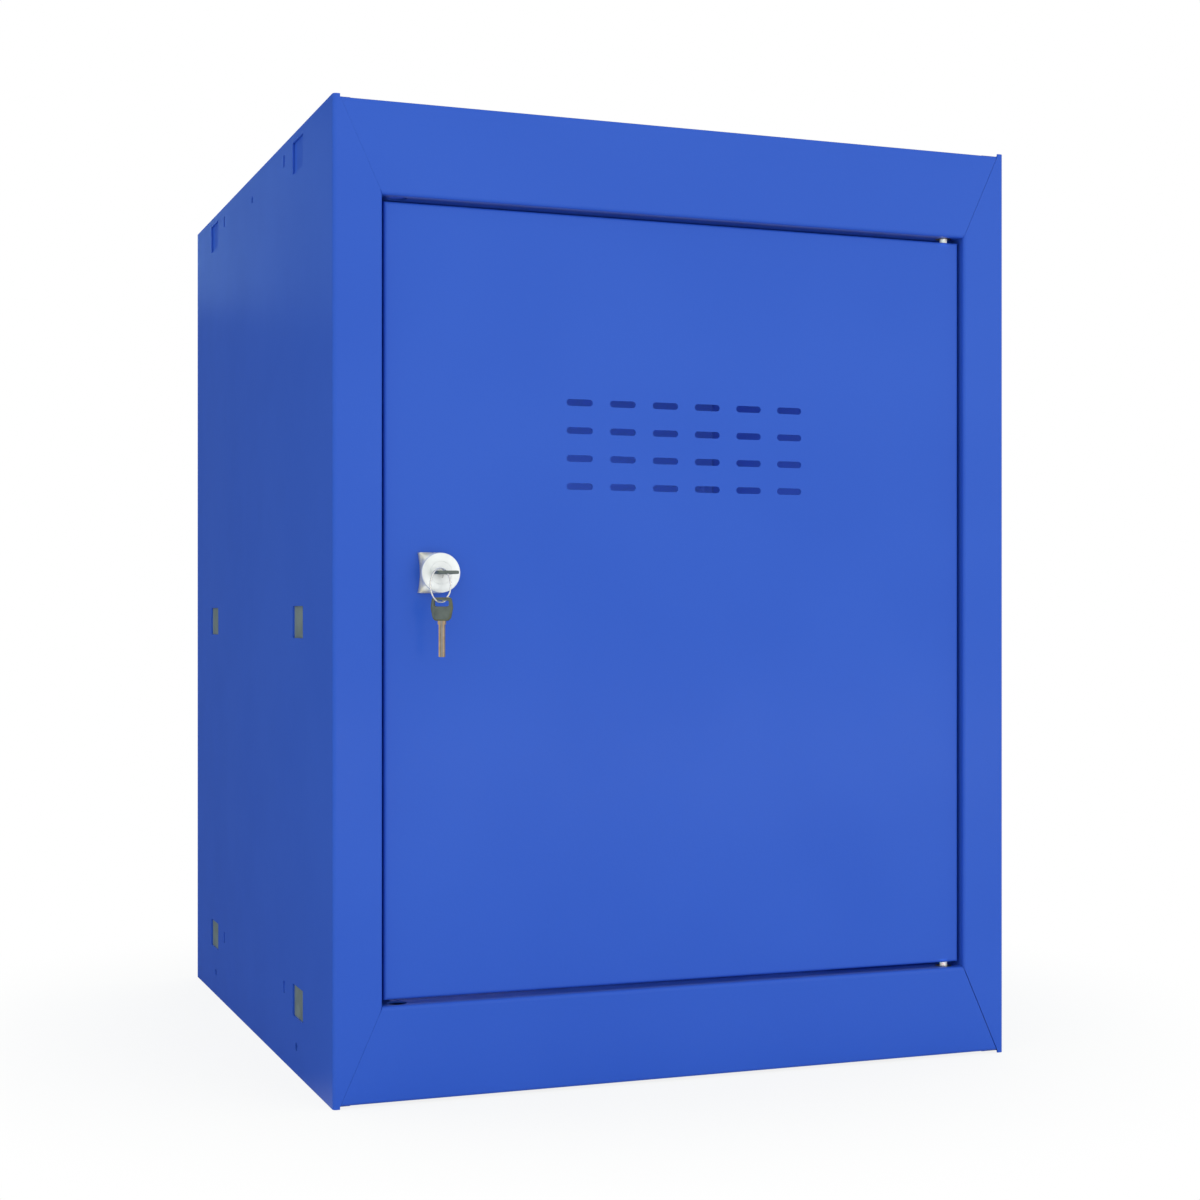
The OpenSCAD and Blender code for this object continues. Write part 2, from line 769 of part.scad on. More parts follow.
module upper_hinge_bush() {
  color(black)
    translate([hinge_x, hinge_y, opening_top])
      hinge_bush(bush_wall_l + cut, bush_wall_l);
}

module lower_hinge_bush() {
  bore_l = lower_pin_reach + buffer_gap;
  color(black)
    translate([hinge_x, hinge_y, opening_low])
      mirror([0, 0, 1])
        hinge_bush(bore_l, bore_l + lower_bush_floor);
}

// Nylon pin with its flange under z = 0, where the door's edge sheet ends
module hinge_pin(reach) {
  translate([0, 0, -pin_flange_t])
    cylinder(d = pin_flange_d, h = pin_flange_t);
  translate([0, 0, -eps])
    cylinder(d = pin_body_d, h = door_sheet + eps);
  translate([0, 0, door_sheet - eps])
    cylinder(d = pin_d, h = door_end_gap + reach + eps);
}

module upper_hinge_pin() {
  color(white)
    translate([hinge_x, hinge_y, door_top - door_sheet])
      hinge_pin(upper_pin_reach);
}

module lower_hinge_pin() {
  color(white)
    translate([hinge_x, hinge_y, door_low + door_sheet])
      mirror([0, 0, 1])
        hinge_pin(lower_pin_reach);
}

// Block with the door's rounded edges, inset by a distance and rounded by r
module door_block(inset, r) {
  intersection() {
    translate([0, 0, door_low + inset])
      linear_extrude(door_h - 2 * inset)
        round_rect([-door_half_w + inset, door_y + inset], [door_half_w - inset, door_back_y - inset], r);
    across(-door_half_w, door_half_w)
      round_rect([door_y + inset, door_low + inset], [door_back_y - inset, door_top - inset], r);
  }
}

// Slot with round ends
module vent_slot() {
  run = vent_l - vent_h;
  square([run, vent_h], center = true);
  for (s = [-1, 1])
    translate([s * run / 2, 0])
      circle(d = vent_h);
}

module vents() {
  for (i = [0 : vent_cols - 1])
    for (j = [0 : vent_rows - 1])
      translate([(i - (vent_cols - 1) / 2) * vent_pitch_x, vent_top_z - j * vent_pitch_z])
        vent_slot();
}

module door_panel() {
  window_half_w = door_half_w - door_lip_w;
  color(blue)
    difference() {
      door_block(0, door_bend_r);
      door_block(door_sheet, door_pocket_r);
      translate([-window_half_w, door_back_y - door_sheet - cut, door_low + door_lip_w])
        cube([2 * window_half_w, door_sheet + 2 * cut, door_h - 2 * door_lip_w]);
      along(door_y - cut, door_y + door_sheet + cut)
        vents();
      rod_y([lock_x, door_y - cut, lock_z], barrel_hole_d, door_sheet + 2 * cut);
      for (z = [door_low - cut, door_top - door_sheet - cut])
        rod_z([hinge_x, hinge_y, z], pin_body_d + 2 * fit_clear, door_sheet + 2 * cut);
    }
}

// Puts a piece on the lock's axis: its Z points out of the door, its Y points up
module on_lock() {
  translate([lock_x, door_y, lock_z])
    rotate([90, 0, 0])
      children();
}

// Flared body of the lock, square towards the stile and round towards the door's middle
module lock_body() {
  rim_z = lock_proud - lock_rim_t;
  difference() {
    hull() {
      linear_extrude(lock_base_t) {
        circle(r = lock_half_w, $fn = 32);
        translate([-lock_half_w, -lock_half_w])
          square([lock_half_w, 2 * lock_half_w]);
      }
      translate([0, 0, rim_z])
        cylinder(r = lock_face_r, h = eps, $fn = 32);
    }
    translate([-lock_half_w + scoop_depth - scoop_r, 0, -cut])
      cylinder(r = scoop_r, h = rim_z + cut, $fn = 96);
  }
  translate([0, 0, rim_z])
    cylinder(r = lock_face_r, h = lock_rim_t);
}

module lock_housing() {
  color(steel)
    on_lock()
      difference() {
        union() {
          lock_body();
          translate([0, 0, -barrel_l])
            cylinder(d = barrel_d, h = barrel_l + eps);
        }
        translate([0, 0, -barrel_l + barrel_end_t])
          cylinder(d = plug_d + 2 * run_clear, h = barrel_l + lock_proud + cut);
        translate([0, 0, -barrel_l - cut])
          cylinder(d = plug_neck_d + 2 * run_clear, h = barrel_end_t + 2 * cut);
      }
}

module lock_nut() {
  color(zinc)
    on_lock()
      translate([0, 0, -door_sheet - nut_t])
        difference() {
          cylinder(d = nut_flats / cos(30), h = nut_t, $fn = 6);
          translate([0, 0, -cut])
            cylinder(d = barrel_d + 2 * fit_clear, h = nut_t + 2 * cut);
        }
}

module lock_plug() {
  shoulder = -barrel_l + barrel_end_t + run_clear;
  keyway_w = blade_w + 2 * key_clear;
  keyway_t = blade_t + 2 * key_clear;
  color(steel)
    on_lock()
      difference() {
        union() {
          translate([0, 0, shoulder])
            cylinder(d = plug_d, h = lock_proud - shoulder);
          translate([0, 0, -barrel_l])
            cylinder(d = plug_neck_d, h = barrel_l + shoulder + eps);
          translate([-cam_square / 2, -cam_square / 2, -barrel_l - tail_l])
            cube([cam_square, cam_square, tail_l + eps]);
        }
        translate([-keyway_w / 2, -keyway_t / 2, lock_proud - key_insert])
          cube([keyway_w, keyway_t, key_insert + cut]);
        translate([0, -key_notch_d / 2, lock_proud - key_notch_deep])
          cylinder(d = key_notch_d, h = key_notch_deep + cut);
        translate([0, 0, -barrel_l - tail_l - cut])
          cylinder(d = screw_d + 2 * fit_clear, h = screw_hole_l + tail_l + cut);
      }
}

// Cam that points up while the lock is open
module lock_cam() {
  hole = cam_square + 2 * fit_clear;
  run = cam_reach - cam_w / 2;
  color(zinc)
    on_lock()
      translate([0, 0, -cam_back])
        linear_extrude(cam_t)
          difference() {
            union() {
              circle(d = cam_w);
              translate([-cam_w / 2, 0])
                square([cam_w, run]);
              translate([0, run])
                circle(d = cam_w);
            }
            square(hole, center = true);
          }
}

module cam_washer() {
  color(zinc)
    on_lock()
      translate([0, 0, -cam_back - washer_t])
        difference() {
          cylinder(d = washer_d, h = washer_t);
          translate([0, 0, -cut])
            cylinder(d = screw_d + 2 * fit_clear, h = washer_t + 2 * cut);
        }
}

module cam_screw() {
  under_head = -cam_back - washer_t;
  slot_w = 1.2;
  slot_l = screw_head_d * 0.6;
  slot_deep = 1.2;
  color(zinc)
    on_lock()
      difference() {
        union() {
          translate([0, 0, under_head - screw_head_h])
            cylinder(d = screw_head_d, h = screw_head_h);
          translate([0, 0, under_head - eps])
            cylinder(d = screw_d, h = -under_head - barrel_l + screw_grip + eps);
        }
        for (a = [0, 90])
          rotate([0, 0, a])
            translate([-slot_l / 2, -slot_w / 2, under_head - screw_head_h - cut])
              cube([slot_l, slot_w, slot_deep + cut]);
      }
}

// Blade of a key, pointing down from its collar, with its tang up in the bow
module key_blade_shape() {
  groove_w = blade_w * 0.45;
  groove_deep = 0.25;
  point = blade_w / 10;
  difference() {
    translate([0, blade_t / 2, 0])
      rotate([90, 0, 0])
        linear_extrude(blade_t) {
          polygon([
            [-blade_w / 2, eps],
            [-blade_w / 2, point - blade_l],
            [-blade_w / 2 + point, -blade_l],
            [blade_w / 2 - point, -blade_l],
            [blade_w / 2, point - blade_l],
            [blade_w / 2, eps]
          ]);
          translate([-collar_w / 2, 0])
            square([collar_w, collar_l]);
          translate([-blade_w / 2, 0])
            square([blade_w, collar_l + tang_l]);
        }
    for (s = [-1, 1])
      translate([-groove_w / 2, s * blade_t / 2 - groove_deep, -blade_l - cut])
        cube([groove_w, 2 * groove_deep, blade_l + cut]);
  }
}

// Bow of a key, from its collar upwards
module key_bow_shape() {
  low_r = 2.6;
  top_r = 1.4;
  mid_r = 4.5;
  pocket_w = blade_w + 2 * tang_clear;
  pocket_t = blade_t + 2 * tang_clear;
  translate([0, 0, collar_l])
    difference() {
      translate([0, bow_t / 2, 0])
        rotate([90, 0, 0])
          linear_extrude(bow_t)
            difference() {
              hull()
                for (s = [-1, 1]) {
                  translate([s * (bow_w * 0.43 - low_r), low_r])
                    circle(r = low_r, $fn = 32);
                  translate([s * (bow_w / 2 - mid_r), bow_l * 0.58])
                    circle(r = mid_r, $fn = 32);
                  translate([s * (bow_w * 0.455 - top_r), bow_l - top_r])
                    circle(r = top_r, $fn = 32);
                }
              translate([-bow_slot_w / 2, bow_l - bow_web - bow_slot_l])
                square([bow_slot_w, bow_slot_l]);
            }
      translate([-pocket_w / 2, -pocket_t / 2, -cut])
        cube([pocket_w, pocket_t, tang_l + tang_clear + cut]);
    }
}

// Puts a key in the lock: its Z points out of the door
module in_lock() {
  on_lock()
    translate([0, 0, key_origin])
      children();
}

module key_blade() {
  color(steel)
    in_lock()
      key_blade_shape();
}

module key_bow() {
  color(grey)
    in_lock()
      key_bow_shape();
}

module key_ring() {
  color(steel)
    translate([ring_x, ring_y, ring_z])
      rotate([90, 0, ring_angle])
        rotate_extrude()
          translate([ring_r, 0])
            circle(r = ring_wire_r, $fn = 24);
}

// Hangs the spare key near the bottom of the ring
module on_ring() {
  translate([spare_x, spare_y, spare_z])
    rotate([0, 0, ring_angle - 90 + spare_turn])
      children();
}

module spare_key_blade() {
  color(steel)
    on_ring()
      key_blade_shape();
}

module spare_key_bow() {
  color(grey)
    on_ring()
      key_bow_shape();
}

left_panel();  // left_side_panel
right_panel();  // right_side_panel
top_panel();
bottom_panel();
back_panel();
middle_plate(0);  // left_front_middle_plate
middle_plate(1);  // left_rear_middle_plate
base_plate(0);  // left_front_base_plate
base_plate(1);  // left_rear_base_plate
mirror([1, 0, 0]) middle_plate(0);  // right_front_middle_plate
mirror([1, 0, 0]) middle_plate(1);  // right_rear_middle_plate
mirror([1, 0, 0]) base_plate(0);  // right_front_base_plate
mirror([1, 0, 0]) base_plate(1);  // right_rear_base_plate
back_rivets();
door_buffers();
upper_hinge_bush();
lower_hinge_bush();
door_panel();
upper_hinge_pin();
lower_hinge_pin();
lock_housing();
lock_nut();
lock_plug();
lock_cam();
cam_washer();
cam_screw();
key_blade();
key_bow();
key_ring();
spare_key_blade();
spare_key_bow();
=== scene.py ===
"""Cube locker: camera, studio, finishes and moulded, cast and turned pieces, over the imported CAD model."""
from math import atan2, cos, pi, radians, sin

import bmesh
import bpy
from mathutils import Matrix, Vector


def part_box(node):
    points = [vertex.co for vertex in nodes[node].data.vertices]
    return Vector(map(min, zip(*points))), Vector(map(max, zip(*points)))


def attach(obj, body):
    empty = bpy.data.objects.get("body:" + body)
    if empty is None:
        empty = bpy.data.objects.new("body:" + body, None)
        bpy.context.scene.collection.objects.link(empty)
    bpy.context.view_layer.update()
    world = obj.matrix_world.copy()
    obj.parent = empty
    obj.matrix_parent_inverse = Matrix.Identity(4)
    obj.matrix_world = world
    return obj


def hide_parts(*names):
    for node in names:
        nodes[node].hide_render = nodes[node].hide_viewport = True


MM = 0.001

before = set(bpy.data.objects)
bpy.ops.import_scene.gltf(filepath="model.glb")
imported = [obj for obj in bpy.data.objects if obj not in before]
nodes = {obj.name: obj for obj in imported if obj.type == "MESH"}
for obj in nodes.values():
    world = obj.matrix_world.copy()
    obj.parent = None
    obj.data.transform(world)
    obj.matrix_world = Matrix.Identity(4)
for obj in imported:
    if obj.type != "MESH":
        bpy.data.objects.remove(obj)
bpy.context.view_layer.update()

# ---------------------------------------------------------------- camera
# Fitted to the edges of the locker in the photo
camera_data = bpy.data.cameras.new("camera")
camera_data.sensor_width = 36
camera_data.lens = 61.018
camera_data.shift_y = 0.01439
camera_data.clip_start = 0.01
camera_data.clip_end = 60
camera = bpy.data.objects.new("camera", camera_data)
camera.location = (-0.41965, -1.18106, 0.24224)
camera.rotation_euler = (radians(90), 0, radians(-20.65))
bpy.context.collection.objects.link(camera)
bpy.context.scene.camera = camera


# ---------------------------------------------------------------- node and colour helpers
def linear(code):
    """An sRGB hex colour as the linear colour with alpha that sockets take."""
    channels = [int(code[i:i + 2], 16) / 255 for i in (1, 3, 5)]
    return tuple(c / 12.92 if c <= 0.04045 else ((c + 0.055) / 1.055) ** 2.4 for c in channels) + (1,)


def add_node(tree, kind, settings=(), links=()):
    """Adds a node. A setting names a property or a socket, and a link feeds a socket from an output."""
    node = tree.nodes.new(kind)
    for key, value in dict(settings).items():
        if isinstance(key, str) and hasattr(node, key):
            setattr(node, key, value)
        else:
            node.inputs[key].default_value = value
    for key, output in dict(links).items():
        tree.links.new(output, node.inputs[key])
    return node


def start_material(name):
    """A cleared material with its tree and the Object coordinates of the piece."""
    material = bpy.data.materials.new(name)
    material.use_nodes = True
    tree = material.node_tree
    tree.nodes.clear()
    place = add_node(tree, "ShaderNodeTexCoord").outputs["Object"]
    return material, tree, place


def finish_material(tree, settings, links=()):
    """Adds the Principled shader and the output."""
    shader = add_node(tree, "ShaderNodeBsdfPrincipled", settings, links)
    add_node(tree, "ShaderNodeOutputMaterial", (), {"Surface": shader.outputs[0]})


def noise(tree, place, size, detail):
    """Noise with features that are about size millimetres across."""
    settings = {"Scale": 1 / (size * MM), "Detail": detail}
    return add_node(tree, "ShaderNodeTexNoise", settings, {"Vector": place}).outputs["Fac"]


def map_range(tree, value, settings):
    """The value, taken from one range to another."""
    return add_node(tree, "ShaderNodeMapRange", settings, {"Value": value}).outputs["Result"]


def colour_ramp(tree, value, low, high, start=0.0, end=1.0):
    """Goes from one colour to another as the value goes from start to end."""
    ramp = add_node(tree, "ShaderNodeValToRGB", (), {"Fac": value})
    for stop, position, code in zip(ramp.color_ramp.elements, (start, end), (low, high)):
        stop.position = position
        stop.color = linear(code)
    return ramp.outputs["Color"]


def mix_colours(tree, share, low, high):
    """Mixes two colours by share. A Mix node takes colours at sockets 6 and 7, and gives one at output 2."""
    links = {0: share, 6: low, 7: high}
    return add_node(tree, "ShaderNodeMix", {"data_type": "RGBA"}, links).outputs[2]


def larger(tree, one, other):
    """The larger of two values."""
    return add_node(tree, "ShaderNodeMath", {"operation": "MAXIMUM"}, {0: one, 1: other}).outputs[0]


def blotch(tree, place, size, low, high, detail=2.0):
    """Mixes two colours in soft blotches that are about size millimetres across."""
    return colour_ramp(tree, noise(tree, place, size, detail), low, high, 0.35, 0.65)


def grain(tree, place, size, low, high, detail=2.0):
    """A value that wanders between low and high, in patches about size millimetres across."""
    settings = {"From Min": 0.3, "From Max": 0.7, "To Min": low, "To Max": high}
    return map_range(tree, noise(tree, place, size, detail), settings)


def relief(tree, height, strength, depth):
    """Bump from a height that stands depth millimetres high."""
    settings = {"Strength": strength, "Distance": depth * MM}
    return add_node(tree, "ShaderNodeBump", settings, {"Height": height}).outputs["Normal"]


# ---------------------------------------------------------------- finishes
# How far the ring and the spare key are turned about the vertical. The spare key hangs square to the
# ring and a little further round.
RING_DEGREES = 37
SPARE_DEGREES = RING_DEGREES - 90 + 7
# Distances from the blade's middle line: the groove's grey ends at the first, and the edge's tan is full
# from the second
GROOVE_END = 0.62 * MM
EDGE_START = 0.8 * MM
# The lock's casting takes painted shade and a painted tan reflection up to the first of these heights above
# the door, and none from the second
SHADED_TO = 3.5 * MM
UNSHADED_FROM = 5.3 * MM


def powder_coat():
    """Polyester powder coat on sheet steel: satin, even in colour, with the faint orange peel of a baked
    powder. The peel is about 1 mm wide and drawn 2 mm wide, so that it shows."""
    material, tree, place = start_material("blue_powder_coat")
    colour = blotch(tree, place, 90, "#325CCA", "#345ECC", 1.0)
    rough = grain(tree, place, 25, 0.2, 0.25)
    peel = grain(tree, place, 2, 0, 1, 1.0)
    finish_material(tree, {"IOR": 1.5, "Specular IOR Level": 0.13},
                    {"Base Color": colour, "Roughness": rough, "Normal": relief(tree, peel, 0.25, 0.05)})
    return material


def galvanised_steel():
    """Hot-dip galvanised sheet: cool grey with a flat spangle of crystals about 6 mm across, half dull.
    Its blue is partly the zinc's own and partly a painted reflection of the blue coat round the plates.
    """
    material, tree, place = start_material("galvanised_steel")
    spangle = add_node(tree, "ShaderNodeTexVoronoi", {"Scale": 1 / (6 * MM)}, {"Vector": place})
    tint = map_range(tree, spangle.outputs["Color"], {"To Min": 0, "To Max": 1})
    # Part of the blue in these greys is a painted reflection of the blue coat round the plates
    colour = colour_ramp(tree, tint, "#7A878B", "#89979A")
    rough = map_range(tree, spangle.outputs["Color"], {"To Min": 0.42, "To Max": 0.6})
    finish_material(tree, {"Metallic": 0.3, "Specular IOR Level": 0.3},
                    {"Base Color": colour, "Roughness": rough})
    return material


def satin_chrome():
    """Satin chrome on a zinc casting: a bright, slightly milky plate with the slow waves of a casting.
    Close to the door its colour turns darker and warmer, as painted shade and a painted tan reflection."""
    material, tree, place = start_material("satin_chrome")
    door_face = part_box("door_panel")[0].y
    outward = add_node(tree, "ShaderNodeSeparateXYZ", (), {"Vector": place})
    # Painted shade and a painted tan reflection: near the door the bright plate's colour gives way to the
    # darker, warmer one
    shade_share = map_range(tree, outward.outputs["Y"],
                         {"From Min": door_face - UNSHADED_FROM, "From Max": door_face - SHADED_TO})
    bright = blotch(tree, place, 6, "#E9EAEC", "#F3F4F5")
    dull = blotch(tree, place, 4, "#CBC5B8", "#E4DFD4")
    colour = mix_colours(tree, shade_share, bright, dull)
    wave = grain(tree, place, 5, 0, 1, 0.0)
    finish_material(tree, {"Metallic": 0.3, "Roughness": 0.26},
                    {"Base Color": colour, "Normal": relief(tree, wave, 0.3, 0.03)})
    return material


def nickel_plate():
    """Nickel-plated steel wire: a warm white metal with fine drawing marks and some wear."""
    material, tree, place = start_material("nickel_plate")
    colour = blotch(tree, place, 3, "#E8E5DE", "#F1EFE9")
    rough = grain(tree, place, 1.5, 0.2, 0.36)
    finish_material(tree, {"Metallic": 0.75}, {"Base Color": colour, "Roughness": rough})
    return material


def blade_metal(name, node, turn):
    """Nickel silver, pressed: tan and bright on its edges, grey in the groove down the middle of the blade.
    The groove is found by the distance from the blade's middle line, across its width."""
    material, tree, place = start_material(name)
    low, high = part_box(node)
    across = Vector((cos(turn), sin(turn), 0))
    middle = ((low + high) / 2).dot(across)
    along_width = add_node(tree, "ShaderNodeVectorMath", {"operation": "DOT_PRODUCT", 1: across}, {0: place})
    off_middle = add_node(tree, "ShaderNodeMath", {"operation": "SUBTRACT", 1: middle},
                          {0: along_width.outputs["Value"]})
    distance = add_node(tree, "ShaderNodeMath", {"operation": "ABSOLUTE"}, {0: off_middle.outputs[0]})
    edge = map_range(tree, distance.outputs[0], {"From Min": GROOVE_END, "From Max": EDGE_START})
    groove = blotch(tree, place, 2, "#97928C", "#A09B94")
    rim = blotch(tree, place, 2, "#B49A7A", "#C2AA8C")
    colour = mix_colours(tree, edge, groove, rim)
    rough = grain(tree, place, 1.5, 0.28, 0.4)
    finish_material(tree, {"Metallic": 0.85}, {"Base Color": colour, "Roughness": rough})
    return material


def zinc_plate():
    """Bright zinc plate on the small steel parts behind the lock: light grey, a little cloudy."""
    material, tree, place = start_material("zinc_plate")
    colour = blotch(tree, place, 5, "#B3B8BC", "#C9CDCF")
    rough = grain(tree, place, 3, 0.26, 0.42)
    finish_material(tree, {"Metallic": 1}, {"Base Color": colour, "Roughness": rough})
    return material


def white_nylon():
    """Natural nylon, moulded: milky white and softly glossy, with a little light passing through."""
    material, tree, place = start_material("white_nylon")
    colour = blotch(tree, place, 8, "#F7F5EF", "#FDFCF8")
    rough = grain(tree, place, 2, 0.38, 0.5)
    finish_material(tree, {"IOR": 1.53, "Subsurface Weight": 0.1, "Subsurface Scale": 0.002},
                    {"Base Color": colour, "Roughness": rough})
    return material


def black_nylon():
    """Glass-filled black nylon, moulded: charcoal with a dull, slightly rough skin."""
    material, tree, place = start_material("black_nylon")
    colour = blotch(tree, place, 4, "#17181A", "#222427")
    skin = grain(tree, place, 0.8, 0, 1)
    finish_material(tree, {"IOR": 1.53, "Roughness": 0.5},
                    {"Base Color": colour, "Normal": relief(tree, skin, 0.3, 0.03)})
    return material


def moulded_grey():
    """ABS, moulded over the key's tang: olive grey with the fine spark texture of the mould."""
    material, tree, place = start_material("moulded_grey_abs")
    colour = blotch(tree, place, 5, "#555E5B", "#626B67")
    spark = grain(tree, place, 0.5, 0, 1, 3.0)
    finish_material(tree, {"IOR": 1.53, "Roughness": 0.42},
                    {"Base Color": colour, "Normal": relief(tree, spark, 0.35, 0.03)})
    return material


def rim_olive():
    """The same ABS, olive brown and a little glossier, on the rounded rim of the spare key's bow and round
    its slot.
    """
    material, tree, place = start_material("olive_rim_abs")
    colour = blotch(tree, place, 3, "#54573F", "#5E614A")
    finish_material(tree, {"IOR": 1.53, "Roughness": 0.32}, {"Base Color": colour})
    return material


def black_rubber():
    """Soft black rubber with a dusty, matt skin."""
    material, tree, place = start_material("black_rubber")
    colour = blotch(tree, place, 3, "#161616", "#232322")
    rough = grain(tree, place, 1.5, 0.65, 0.85)
    finish_material(tree, {"IOR": 1.52, "Specular IOR Level": 0.35},
                    {"Base Color": colour, "Roughness": rough})
    return material


coat = powder_coat()
galvanised = galvanised_steel()
chrome = satin_chrome()
nickel = nickel_plate()
plated = zinc_plate()
nylon = white_nylon()
dark_nylon = black_nylon()
abs_grey = moulded_grey()
abs_rim = rim_olive()
blade = blade_metal("blade_nickel_silver", "key_blade", 0)
spare_blade = blade_metal("spare_blade_nickel_silver", "spare_key_blade", radians(SPARE_DEGREES))
rubber = black_rubber()

FINISHES = {
    coat: ["left_side_panel", "right_side_panel", "top_panel", "bottom_panel", "back_panel", "door_panel",
           "back_rivets"],
    galvanised: [f"{side}_{end}_{level}_plate" for side in ("left", "right") for end in ("front", "rear")
                 for level in ("middle", "base")],
    chrome: ["lock_housing", "lock_plug"],
    nickel: ["key_ring"],
    blade: ["key_blade"],
    spare_blade: ["spare_key_blade"],
    plated: ["lock_nut", "lock_cam", "cam_washer", "cam_screw"],
    nylon: ["upper_hinge_pin", "lower_hinge_pin"],
    dark_nylon: ["upper_hinge_bush", "lower_hinge_bush"],
    abs_grey: ["key_bow", "spare_key_bow"],
    rubber: ["door_buffers"],
}
for material, names in FINISHES.items():
    for name in names:
        for slot in nodes[name].material_slots:
            slot.material = material

# ---------------------------------------------------------------- mesh helpers
# Corners of two outlines that are closer than this become one, in metres
MERGE = 1e-6


def turned(profile, steps):
    """Spins a profile of (radius, height) in millimetres round Z."""
    bm = bmesh.new()
    verts = [bm.verts.new((r * MM, 0, z * MM)) for r, z in profile]
    edges = [bm.edges.new(pair) for pair in zip(verts, verts[1:])]
    bmesh.ops.spin(bm, geom=verts + edges, cent=(0, 0, 0), axis=(0, 0, 1), dvec=(0, 0, 0), angle=2 * pi,
                   steps=steps, use_merge=True, use_normal_flip=False, use_duplicate=False)
    bmesh.ops.remove_doubles(bm, verts=bm.verts[:], dist=MERGE)
    return bm


def put_on(corners, shape):
    """Moves each corner to the point, in millimetres, that an outline has at the corner's angle."""
    for corner in corners:
        corner.co = Vector(shape(atan2(corner.co.y, corner.co.x))) * MM


def grow(bm, edges, shape):
    """Extrudes a closed run of edges on to an outline, and returns the new run."""
    made = bmesh.ops.extrude_edge_only(bm, edges=edges)["geom"]
    corners = {item for item in made if isinstance(item, bmesh.types.BMVert)}
    put_on(corners, shape)
    return [item for item in made if isinstance(item, bmesh.types.BMEdge) and set(item.verts) <= corners]


def stack(shapes, corners=96, closed=True):
    """A skin through one outline after another. A closed stack joins its last outline to its first, and
    an open one is capped at both ends."""
    bm = bmesh.new()
    bmesh.ops.create_circle(bm, segments=corners, radius=MM)
    first = bm.edges[:]
    put_on(bm.verts, shapes[0])
    edges = first
    for shape in shapes[1:]:
        edges = grow(bm, edges, shape)
    if closed:
        grow(bm, edges, shapes[0])
        bmesh.ops.remove_doubles(bm, verts=bm.verts[:], dist=MERGE)
    else:
        bmesh.ops.edgeloop_fill(bm, edges=first)
        bmesh.ops.edgeloop_fill(bm, edges=edges)
    return bm


def move(bm, matrix):
    """Moves the whole of a bmesh."""
    bmesh.ops.transform(bm, matrix=matrix, verts=bm.verts[:])


def placed_copies(bm, places):
    """One bmesh with a copy of bm at each of the places."""
    mesh = bpy.data.meshes.new("copy")
    bm.to_mesh(mesh)
    bm.free()
    whole = bmesh.new()
    for place in places:
        start = len(whole.verts)
        whole.from_mesh(mesh)
        whole.verts.ensure_lookup_table()
        bmesh.ops.transform(whole, matrix=place, verts=whole.verts[start:])
    bpy.data.meshes.remove(mesh)
    return whole


def make_object(name, bm, material):
    """Turns a bmesh into an object in the scene."""
    mesh = bpy.data.meshes.new(name)
    bm.to_mesh(mesh)
    bm.free()
    mesh.materials.append(material)
    made = bpy.data.objects.new(name, mesh)
    bpy.context.collection.objects.link(made)
    return made


def make_piece(name, bm, material, body, replaced, crease=32):
    """Turns a bmesh into a piece that rides on a body and stands for a CAD node.
    Edges that bend more than crease degrees stay sharp."""
    bmesh.ops.recalc_face_normals(bm, faces=bm.faces[:])
    for face in bm.faces:
        face.smooth = True
    for edge in bm.edges:
        edge.smooth = len(edge.link_faces) == 2 and edge.calc_face_angle(0) < radians(crease)
    piece = make_object(name, bm, material)
    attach(piece, body)
    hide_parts(replaced)
    return piece


# ---------------------------------------------------------------- lock
washer_low, washer_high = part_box("cam_washer")
lock_x = (washer_low.x + washer_high.x) / 2
lock_z = (washer_low.z + washer_high.z) / 2
door_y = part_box("door_panel")[0].y
housing_low, housing_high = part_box("lock_housing")
# Takes (across, up, out of the door) to the locker's own axes
lock_place = Matrix.Translation((lock_x, door_y, lock_z)) @ Matrix.Rotation(radians(90), 4, "X")
# The casting's outer and inner ends, measured out of the door, and half its height. These and the
# numbers below are in millimetres.
LOCK_OUT = (door_y - housing_low.y) / MM
LOCK_IN = (door_y - housing_high.y) / MM
LOCK_HALF = (housing_high.z - housing_low.z) / 2 / MM
# How high the foot's wall is, what the foot stands out on the left, and the depth of its hollow
SHOULDER = 2.6
FOOT_OVER = 0.15
SCOOP = 1.2
# How far the scoop above the hollow is pushed towards the middle, and how far down
SCOOP_IN = 0.5
SCOOP_DOWN = 1.1
SCOOP_STEPS = 6
# The round face and its rim
FACE_R = 10.0
RIM_T = 1.6
# The barrel, with its bore and the narrower neck that holds the plug
BARREL_R = 8.0
BORE_R = 5.75
NECK_R = 4.75
NECK_T = 2.0
# The thread behind the door
ROOT_R = BARREL_R - 0.45
THREAD_START = 0.5
THREAD_PITCH = 1.5


def lock_base(inset, height):
    """Outline of the casting's foot: round on the right, square on the left, with a hollow for a finger."""
    def shape(angle):
        half = LOCK_HALF - inset
        across, up = cos(angle), sin(angle)
        if across >= 0:
            return (half * across, half * up, height)
        across *= 1 + FOOT_OVER / LOCK_HALF
        if abs(up) >= abs(cos(angle)) * (1 - 1e-6):
            return (half * across / abs(up), half if up > 0 else -half, height)
        slope = up / abs(cos(angle))
        hollow = SCOOP * (1 - slope * slope)
        return (-half - FOOT_OVER + hollow, half * slope, height)
    return shape


def ring_line(radius, height):
    """A circle about the axis."""
    return lambda angle: (radius * cos(angle), radius * sin(angle), height)


def between(low, high, share):
    """An outline part of the way from one outline to another, sunk into a hollow on the left."""
    def shape(angle):
        x, y, z = (a + (b - a) * share for a, b in zip(low(angle), high(angle)))
        hollow = max(0, -cos(angle) - abs(sin(angle))) * sin(pi * share)
        return (x + SCOOP_IN * hollow, y, z - SCOOP_DOWN * hollow)
    return shape


